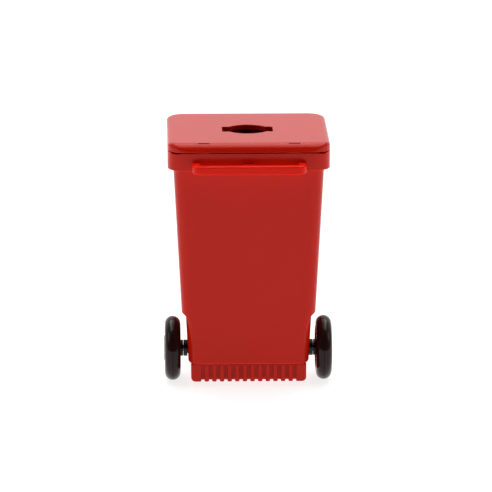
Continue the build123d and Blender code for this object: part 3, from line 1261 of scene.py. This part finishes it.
# ---------------------------------------------------------------- base


@dataclass
class RibbedBase:
    """The plinth: a hollow rounded skirt, a row of ribs on its near face and two far feet."""

    sizes: BinSizes
    wall: float = 2.0
    plate: float = 1.6
    lift: float = 2.2
    skirt_lift: float = 0.35
    corner: float = 2.4
    least_corner: float = 0.5
    soft: float = 1.5
    root: float = 0.6
    top_gap: float = 0.02
    rib_count: int = 12
    rib_width: float = 2.05
    rib_round: float = 0.6
    rib_proud: float = 1.4
    rib_taper: float = 0.7
    end_width: float = 4.6
    end_round: float = 1.9
    end_inner_round: float = 0.5
    foot_width: float = 13.0
    foot_length: float = 11.0
    foot_margin: float = 0.5
    foot_round: float = 0.8

    def ring(self, low: Vector, high: Vector, inset: float, height: float) -> Ring:
        """A rounded rectangle between two corners, with an inset."""
        corner = max(self.corner - inset, self.least_corner)
        shift = Vector((inset, inset))
        outline = round_rectangle(tuple(low.xy + shift), tuple(high.xy - shift), corner, 8)
        return [(x, y, height) for x, y in outline]

    def build(self) -> None:
        """Makes the plinth and its ribs and lets them stand for the node."""
        low, high = node_box("base")
        top = node_box("tub")[0].z
        near = low.y + self.rib_proud
        low.y = near
        foot = self.lift + self.skirt_lift
        rings = [self.ring(low, high, self.wall, height) for height in (top - self.plate, foot)]
        for turn in arc(0.0, 90.0, 5):
            rise, inset = round_off(self.soft, turn)
            rings.append(self.ring(low, high, inset, foot + rise))
        rings.append(self.ring(low, high, 0.0, top))
        shell = ShellMesh()
        shell.loft(rings)
        for side in (-1, 1):
            self.foot(shell, side, high, top - self.plate / 2)
            self.end_block(shell, side, high.x, near, top)
        piece = shell.piece("base_plinth", Finish.BODY, 35.0)
        weigh_normals(piece)
        place_piece(piece, "bin", "body_plastic", "base")
        self.ribs(high.x, near, top)

    def foot(self, shell: ShellMesh, side: int, high: Vector, top: float) -> None:
        """One far foot, rounded at the ground."""
        outer, far = high.x - self.foot_margin, high.y - self.foot_margin
        left, right = sorted((side * outer, side * (outer - self.foot_width)))
        low_corner, high_corner = Vector((left, far - self.foot_length)), Vector((right, far))
        rings = []
        for turn in arc(0.0, 90.0, 5):
            rise, inset = round_off(self.foot_round, turn)
            rings.append(self.ring(low_corner, high_corner, inset, rise))
        rings.append(self.ring(low_corner, high_corner, 0.0, top))
        shell.loft(rings)

    def end_block(self, shell: ShellMesh, side: int, edge: float, near: float, top: float) -> None:
        """The wide block at an end of the row of ribs, with its lower outer corner rounded.

        Args:
            shell: the mesh that it joins.
            side: which end.
            edge: the plinth's half width.
            near: the plinth's near face.
            top: the plinth's upper face.
        """
        inner, ceiling = edge - self.end_width, top - self.top_gap
        outline = [(inner, ceiling), (inner, self.lift + self.end_inner_round)]
        for turn in arc(0.0, 90.0, 4)[1:]:
            along, rise = round_off(self.end_inner_round, turn)
            outline.append((inner + along, self.lift + rise))
        for turn in arc(0.0, 90.0, 8):
            rise, along = round_off(self.end_round, turn)
            outline.append((edge - along, self.lift + rise))
        outline.append((edge, ceiling))
        middle_x, middle_z = (inner + edge) / 2, (self.lift + top) / 2
        front = -self.rib_proud
        rings = []
        for depth, pull in ((self.root, 0.0), (front + 0.6, 0.0), (front + 0.2, 0.14), (front, 0.5)):
            ring = []
            for x, z in outline:
                pulled_x = x - math.copysign(min(pull, abs(x - middle_x)), x - middle_x)
                pulled_z = z + (pull if z < middle_z else 0.0)
                ring.append((side * pulled_x, near + depth, pulled_z))
            rings.append(ring)
        shell.loft(rings)

    def ribs(self, edge: float, near: float, top: float) -> None:
        """The row of narrow ribs, repeated with Geometry Nodes.

        Args:
            edge: the plinth's half width.
            near: the plinth's near face.
            top: the plinth's upper face.
        """
        pitch = (2 * (edge - self.end_width) + self.rib_width) / (self.rib_count + 1) * MM
        first = -pitch * (self.rib_count - 1) / 2
        recipe = NodeRecipe("rib_row", {"Count": self.rib_count, "Pitch": pitch, "First rib": first})
        line = recipe.add(
            "GeometryNodeMeshLine",
            {"mode": "OFFSET"},
            {
                "Count": recipe.given("Count"),
                "Start Location": recipe.vector(x=recipe.given("First rib")),
                "Offset": recipe.vector(x=recipe.given("Pitch")),
            },
        )
        row = recipe.repeat(line)
        piece = recipe.make("base_ribs", row, Finish.BODY, self.rib_mesh(near, top))
        shade_by_angle(piece, 40.0)
        place_piece(piece, "bin", "body_plastic")

    def rib_mesh(self, near: float, top: float) -> bpy.types.Mesh:
        """One flat-fronted rib with rounded edges and a rounded lower end.

        Args:
            near: the plinth's near face.
            top: the plinth's upper face.

        Returns:
            Its mesh, at the middle of the row.
        """
        soft, front, back = self.rib_round, near - self.rib_proud, near + self.root
        levels = [round_off(soft, turn) for turn in arc(0.0, 90.0, 6)]
        levels.append((top - self.top_gap - self.lift, 0.0))
        rings = []
        for rise, pull in levels:
            side = self.rib_width / 2 - pull * self.rib_taper
            ring = []
            for turn in arc(0.0, 90.0, 5):
                across, depth = round_off(soft, turn)
                ring.append((side - across, front + pull + depth, self.lift + rise))
            ring += [(-x, y, z) for x, y, z in reversed(ring)]
            ring += [(-side, back, self.lift + rise), (side, back, self.lift + rise)]
            rings.append(ring)
        shell = ShellMesh()
        shell.loft(rings)
        return shell.seed("rib_seed")


# ---------------------------------------------------------------- wheels


class Side(Enum):
    """The two sides of the bin."""

    LEFT = -1
    RIGHT = 1

    @property
    def word(self) -> str:
        """The side's name in node names."""
        return self.name.lower()


@dataclass
class WheelUnit:
    """One wheel with its hub cap, bush and clip."""

    side: Side
    steps: int = 128
    tread: float = 3.55
    web: float = 1.8
    mould_turn: float = 3.0
    mould_half: float = 0.09
    mould_depth: float = 0.1
    bore: float = 1.55
    boss_radius: float = 3.7
    flange: float = 6.8
    cap_radius: float = 5.8
    cap_depth: float = 1.0
    clip_radius: float = 3.1
    clip_depth: float = 2.0
    spoke_count: int = 6
    spoke_half: float = 0.7
    spoke_rise: float = 1.1
    spoke_soft: float = 0.25
    cap_soft: float = 0.45
    cap_slack: float = 0.02
    bush_bore: float = 1.5
    bush_shank: float = 2.5
    bush_head: float = 1.75

    def flip(self, profile: Sequence[Place]) -> list[Place]:
        """Mirrors a right-hand profile on the left side."""
        return [(self.side.value * along, out) for along, out in profile]

    def build(self) -> None:
        """Makes the wheel and what belongs to it."""
        low, high = node_box(f"wheel_{self.side.word}")
        axis_y, axis_z = (low.y + high.y) / 2, (low.z + high.z) / 2
        boss, outer = sorted((abs(low.x), abs(high.x)))
        radius = (high.z - low.z) / 2
        self.wheel(boss, outer, radius, axis_y, axis_z)
        self.cap(axis_y, axis_z)
        self.bush(axis_y, axis_z)
        dress_node(f"axle_clip_{self.side.word}", Finish.SPRING)

    def wheel(self, boss: float, outer: float, radius: float, axis_y: float, axis_z: float) -> None:
        """The wheel: boss, web, hub flange and a full-round tread with its mould line.

        Args:
            boss: the boss's inner face from the middle of the bin.
            outer: the wheel's outer face.
            radius: the wheel's radius.
            axis_y: the axle's place.
            axis_z: its height.
        """
        tread, web, bore, flange = self.tread, self.web, self.bore, self.flange
        middle, centre = outer - tread, radius - tread
        join = math.degrees(math.asin(web / tread))
        inner, outward = 180.0 + join, 90.0 + self.mould_turn
        profile = [(boss + 0.3, bore), (boss, bore + 0.3)]
        profile += [(boss, self.boss_radius - 0.3), (boss + 0.3, self.boss_radius)]
        profile += [(middle - web - 0.6, self.boss_radius), (middle - web, self.boss_radius + 0.6)]
        profile += self.tread_side(middle, centre, inner, outward)
        profile.append((middle - self.mould_half, centre + tread))
        profile.append((middle, centre + tread - self.mould_depth))
        profile.append((middle + self.mould_half, centre + tread))
        profile += self.tread_side(middle, centre, 180.0 - outward, 180.0 - inner)
        profile += [(middle + web, flange + 0.5), (middle + web + 0.4, flange), (outer - 0.4, flange)]
        profile += [(outer - 0.12, flange - 0.12), (outer, flange - 0.4), (outer, self.cap_radius + 0.15)]
        profile += [(outer - 0.15, self.cap_radius), (outer - self.cap_depth, self.cap_radius)]
        profile += [(outer - self.cap_depth, self.clip_radius), (outer - self.clip_depth, self.clip_radius)]
        profile.append((outer - self.clip_depth, bore))
        shell = ShellMesh()
        shell.revolve(self.flip(profile), axis_y, axis_z, self.steps)
        body = f"wheel_{self.side.word}"
        piece = shell.piece(f"{body}_body", Finish.WHEEL, 32.0)
        place_piece(piece, body, "wheel_plastic", body)
        reach = centre - tread * math.cos(math.radians(join))
        self.spokes(middle + web - 0.3, flange, reach, axis_y, axis_z)

    def tread_side(self, middle: float, centre: float, start: float, stop: float) -> list[Place]:
        """The round of the tread between two angles.

        Args:
            middle: the tread's middle along X.
            centre: the round's centre, from the axle.
            start: the first angle, in degrees.
            stop: the last angle.

        Returns:
            The profile's points.
        """
        tread = self.tread
        turns = arc(start, stop, 30)
        return [(middle + tread * math.cos(turn), centre + tread * math.sin(turn)) for turn in turns]

    def spokes(self, face: float, inner: float, outer: float, axis_y: float, axis_z: float) -> None:
        """Short radial ribs on the wheel's outer web, repeated round the hub with Geometry Nodes.

        Args:
            face: the web's outer face.
            inner: where the ribs start.
            outer: where they end.
            axis_y: the axle's place.
            axis_z: its height.
        """
        recipe = NodeRecipe(f"spoke_ring_{self.side.word}", {"Count": self.spoke_count, "Spread": 0.0})
        around = {"Vertices": recipe.given("Count"), "Radius": recipe.given("Spread")}
        circle = recipe.add("GeometryNodeMeshCircle", {}, around)
        step = recipe.maths("DIVIDE", math.tau, recipe.given("Count"))
        turn = recipe.maths("MULTIPLY", recipe.add("GeometryNodeInputIndex", {}, {}), step)
        spun = recipe.repeat(circle, Rotation=recipe.vector(x=turn))
        place = (0.0, axis_y * MM, axis_z * MM)
        moved = recipe.add("GeometryNodeTransform", {}, {"Geometry": spun, "Translation": place})
        half, soft, rise = self.spoke_half, self.spoke_soft, self.spoke_rise
        section = [(-half, 0.0), (-half, rise - soft), (soft - half, rise)]
        section += [(-across, up) for across, up in reversed(section)]
        shell = ShellMesh()
        rings = []
        for out in (inner - 0.4, outer + 0.5):
            rings.append([(self.side.value * (face + up), across, out) for across, up in section])
        shell.loft(rings)
        body = f"wheel_{self.side.word}"
        piece = recipe.make(f"{body}_spokes", moved, Finish.WHEEL, shell.seed("spoke_seed"))
        shade_by_angle(piece, 50.0)
        place_piece(piece, body, "wheel_plastic")

    def cap(self, axis_y: float, axis_z: float) -> None:
        """The hub cap: a low dome with a ring groove."""
        node = f"hub_cap_{self.side.word}"
        low, high = node_box(node)
        back, face = sorted((abs(low.x), abs(high.x)))
        slack = self.cap_slack
        radius = (high.z - low.z) / 2 - slack
        profile = [(back, slack), (back, radius)]
        for turn in arc(0.0, 90.0, 6):
            drop, inward = round_off(self.cap_soft, turn)
            profile.append((face - inward, radius - drop))
        profile += [(face, 4.6), (face - 0.16, 4.4), (face - 0.16, 4.1), (face, 3.9), (face, slack)]
        shell = ShellMesh()
        shell.revolve(self.flip(profile), axis_y, axis_z, self.steps // 2)
        self.close_axis(shell)
        piece = shell.piece(f"{node}_dome", Finish.WHEEL, 30.0)
        place_piece(piece, f"wheel_{self.side.word}", "wheel_plastic", node)

    def bush(self, axis_y: float, axis_z: float) -> None:
        """The bush that shows between the tub and the wheel."""
        node = f"axle_bush_{self.side.word}"
        low, high = node_box(node)
        inner, face = sorted((abs(low.x), abs(high.x)))
        radius, shank, bore = (high.z - low.z) / 2, self.bush_shank, self.bush_bore
        seat = face - self.bush_head
        profile = [(inner, bore), (inner, shank - 0.2), (inner + 0.2, shank), (seat, shank)]
        profile += [(seat, radius - 0.15), (seat + 0.15, radius), (face - 0.25, radius)]
        profile += [(face, radius - 0.25), (face, bore)]
        shell = ShellMesh()
        shell.revolve(self.flip(profile), axis_y, axis_z, self.steps // 2)
        piece = shell.piece(f"{node}_sleeve", Finish.BUSH, 30.0)
        place_piece(piece, "bin", "bush_plastic", node)

    def close_axis(self, shell: ShellMesh) -> None:
        """Merges the tiny hole that a revolved cap has on its axis."""
        bmesh.ops.remove_doubles(shell.bm, verts=shell.bm.verts, dist=AXIS_MERGE * MM)


def dress_node(node: str, finish: Finish) -> None:
    """Gives a frame node that stays in view its finish.

    Args:
        node: the node's name.
        finish: the finish.
    """
    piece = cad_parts[node]
    piece.data.materials.clear()
    piece.data.materials.append(finish.material())
    LOG.info("%s keeps its frame shape", node)


# ---------------------------------------------------------------- bag roll


@dataclass
class BagRoll:
    """The roll of bags: film wound in a spiral round a board core."""

    turns: int = 22
    film: float = 0.26
    tube_steps: int = 72

    def build(self) -> None:
        """Makes the wound film and dresses the core."""
        low, high = node_box("bag_roll")
        core_low, core_high = node_box("roll_core")
        middle_y = (low.y + high.y) / 2
        start = (core_high.x - core_low.x) / 2 + self.film / 2
        stop = (high.x - low.x) / 2 - self.film / 2
        recipe = NodeRecipe(
            "wound_film",
            {
                "Turns": float(self.turns),
                "Start radius": start * MM,
                "End radius": stop * MM,
                "Steps": self.turns * self.tube_steps,
                "Film": self.film * MM,
                "Height": (high.z - low.z) * MM,
            },
        )
        spiral = recipe.add(
            "GeometryNodeCurveSpiral",
            {},
            {
                "Resolution": recipe.given("Steps"),
                "Rotations": recipe.given("Turns"),
                "Start Radius": recipe.given("Start radius"),
                "End Radius": recipe.given("End radius"),
                "Height": 0.0,
            },
        )
        upright = recipe.add("GeometryNodeSetCurveNormal", {"mode": "Z_UP"}, {"Curve": spiral})
        section = recipe.add(
            "GeometryNodeCurvePrimitiveQuadrilateral",
            {},
            {"Width": recipe.given("Film"), "Height": recipe.given("Height")},
        )
        wound = recipe.add(
            "GeometryNodeCurveToMesh", {}, {"Curve": upright, "Profile Curve": section, "Fill Caps": True}
        )
        centre = Vector((0.0, middle_y, (low.z + high.z) / 2)) * MM
        moved = recipe.add("GeometryNodeTransform", {}, {"Geometry": wound, "Translation": centre})
        piece = recipe.make("bag_film_wound", moved, Finish.FILM)
        shade_by_angle(piece, 40.0)
        place_piece(piece, "roll", "bag_film", "bag_roll")
        dress_node("roll_core", Finish.BOARD)


# ---------------------------------------------------------------- stage


@dataclass
class Studio:
    """Pale floor, soft light and the camera."""

    azimuth: float = -1.4
    elevation: float = 13.4
    distance: float = 2.0
    lens: float = 325.0
    aim_x: float = -0.0007
    aim_z: float = 0.0594
    floor_half: float = 6.0

    def floor(self) -> None:
        """A wide pale floor."""
        bm = bmesh.new()
        bmesh.ops.create_grid(bm, x_segments=1, y_segments=1, size=self.floor_half)
        mesh = bpy.data.meshes.new("floor")
        bm.to_mesh(mesh)
        bm.free()
        graph = ShaderGraph("pale_floor")
        mesh.materials.append(
            graph.finish(
                Base_Color=(0.35, 0.35, 0.35, 1.0),
                Roughness=0.9,
                IOR=1.2,
                Emission_Color=(1.0, 1.0, 1.0, 1.0),
                Emission_Strength=0.82,
            )
        )
        made = bpy.data.objects.new("floor", mesh)
        bpy.context.scene.collection.objects.link(made)

    def world(self) -> None:
        """White surroundings behind and above the bin, dim on the side that it is seen from."""
        world = bpy.data.worlds.new("soft_room")
        bpy.context.scene.world = world
        world.use_nodes = True
        tree = world.node_tree
        tree.nodes.clear()
        place = tree.nodes.new("ShaderNodeTexCoord")
        split = tree.nodes.new("ShaderNodeSeparateXYZ")
        ramp = tree.nodes.new("ShaderNodeMapRange")
        for key, value in {"From Min": -0.6, "From Max": 0.7, "To Min": 0.02, "To Max": 1.0}.items():
            ramp.inputs[key].default_value = value
        back = tree.nodes.new("ShaderNodeBackground")
        out = tree.nodes.new("ShaderNodeOutputWorld")
        tree.links.new(place.outputs["Generated"], split.inputs[0])
        tree.links.new(split.outputs["Y"], ramp.inputs["Value"])
        tree.links.new(ramp.outputs[0], back.inputs["Strength"])
        tree.links.new(back.outputs[0], out.inputs["Surface"])

    def lamp(self, name: str, power: float, size: float, place: tuple[float, float, float]) -> None:
        """A square soft lamp turned to the bin.

        Args:
            name: its name.
            power: watts.
            size: metres.
            place: where it hangs, in metres.
        """
        light = bpy.data.lights.new(name, "AREA")
        light.energy, light.size = power, size
        made = bpy.data.objects.new(name, light)
        made.location = place
        made.rotation_euler = (Vector((0.0, 0.0, 0.05)) - Vector(place)).to_track_quat("-Z", "Y").to_euler()
        bpy.context.scene.collection.objects.link(made)

    def camera(self) -> None:
        """The camera, a long lens from the handle side and a little above."""
        data = bpy.data.cameras.new("camera")
        data.lens, data.sensor_width = self.lens, 36.0
        data.clip_end = 50.0
        made = bpy.data.objects.new("camera", data)
        turn, rise = math.radians(self.azimuth), math.radians(self.elevation)
        back = Vector((math.sin(turn) * math.cos(rise), -math.cos(turn) * math.cos(rise), math.sin(rise)))
        made.location = Vector((self.aim_x, 0.0, self.aim_z)) + back * self.distance
        made.rotation_euler = (-back).to_track_quat("-Z", "Y").to_euler()
        bpy.context.scene.collection.objects.link(made)
        bpy.context.scene.camera = made

    def build(self) -> None:
        """Sets the stage."""
        self.camera()
        self.floor()
        self.world()
        self.lamp("top_softbox", 21.0, 1.6, (0.0, 0.45, 1.5))
        self.lamp("left_softbox", 1.0, 0.5, (-1.1, -0.2, 0.7))
        self.lamp("right_softbox", 1.0, 0.5, (1.1, -0.2, 0.7))
        bpy.context.scene.view_settings.view_transform = "Standard"


def main() -> None:
    """Builds the sub-assemblies in order."""
    logging.basicConfig(level=logging.INFO, format="%(message)s")
    sizes = BinSizes.from_frame()
    Studio().build()
    TubShell(sizes).build()
    RibbedBase(sizes).build()
    HandleBar(sizes).build()
    LidShell(sizes).build()
    for side in Side:
        WheelUnit(side).build()
    BagRoll().build()
    dress_node("axle", Finish.STEEL)
    dress_node("hinge_rod", Finish.STEEL)


if __name__ == "__main__":
    main()
